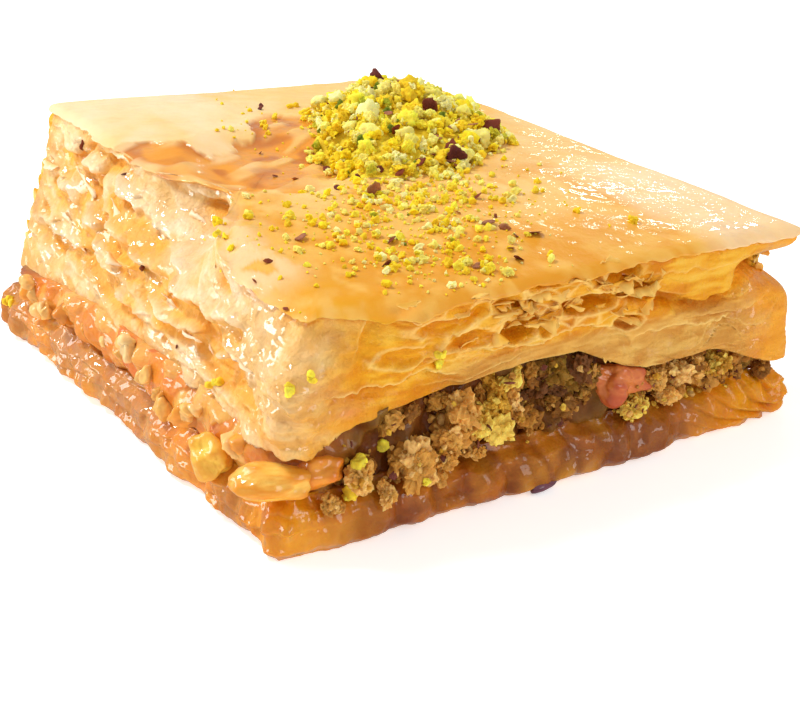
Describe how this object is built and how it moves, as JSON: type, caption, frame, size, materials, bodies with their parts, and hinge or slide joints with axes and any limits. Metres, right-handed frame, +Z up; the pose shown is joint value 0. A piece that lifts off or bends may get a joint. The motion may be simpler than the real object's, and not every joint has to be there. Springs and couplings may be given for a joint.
{
  "type": "piece of baklava",
  "caption": "Diamond-cut piece of layered nut pastry soaked in syrup, with a heap of ground pistachio on its crust, for food and table scenes.",
  "frame": {"origin": "on the surface the piece rests on, below the middle of its box", "axes": "+Z up through the crust, +X along the shorter cut side from the near corner to the right corner, +Y roughly along the longer cut side away from the near corner"},
  "size_m": [0.0587, 0.061, 0.0264],
  "materials": {
    "soaked_pastry": "amber pastry soaked with syrup, glossy and slightly translucent",
    "chopped_nuts": "chopped nuts bound with syrup, rough, with olive, brown and yellow pieces",
    "crisp_pastry": "thin golden pastry sheets under a clear syrup glaze",
    "ground_pistachio": "dry ground pistachio, matte yellow and green crumbs with dark skins"
  },
  "bodies": {
    "root": {"base_layers": "soaked_pastry", "nut_filling": "chopped_nuts", "upper_layers": "crisp_pastry", "pistachio_topping": "ground_pistachio"}
  },
  "joints": []
}
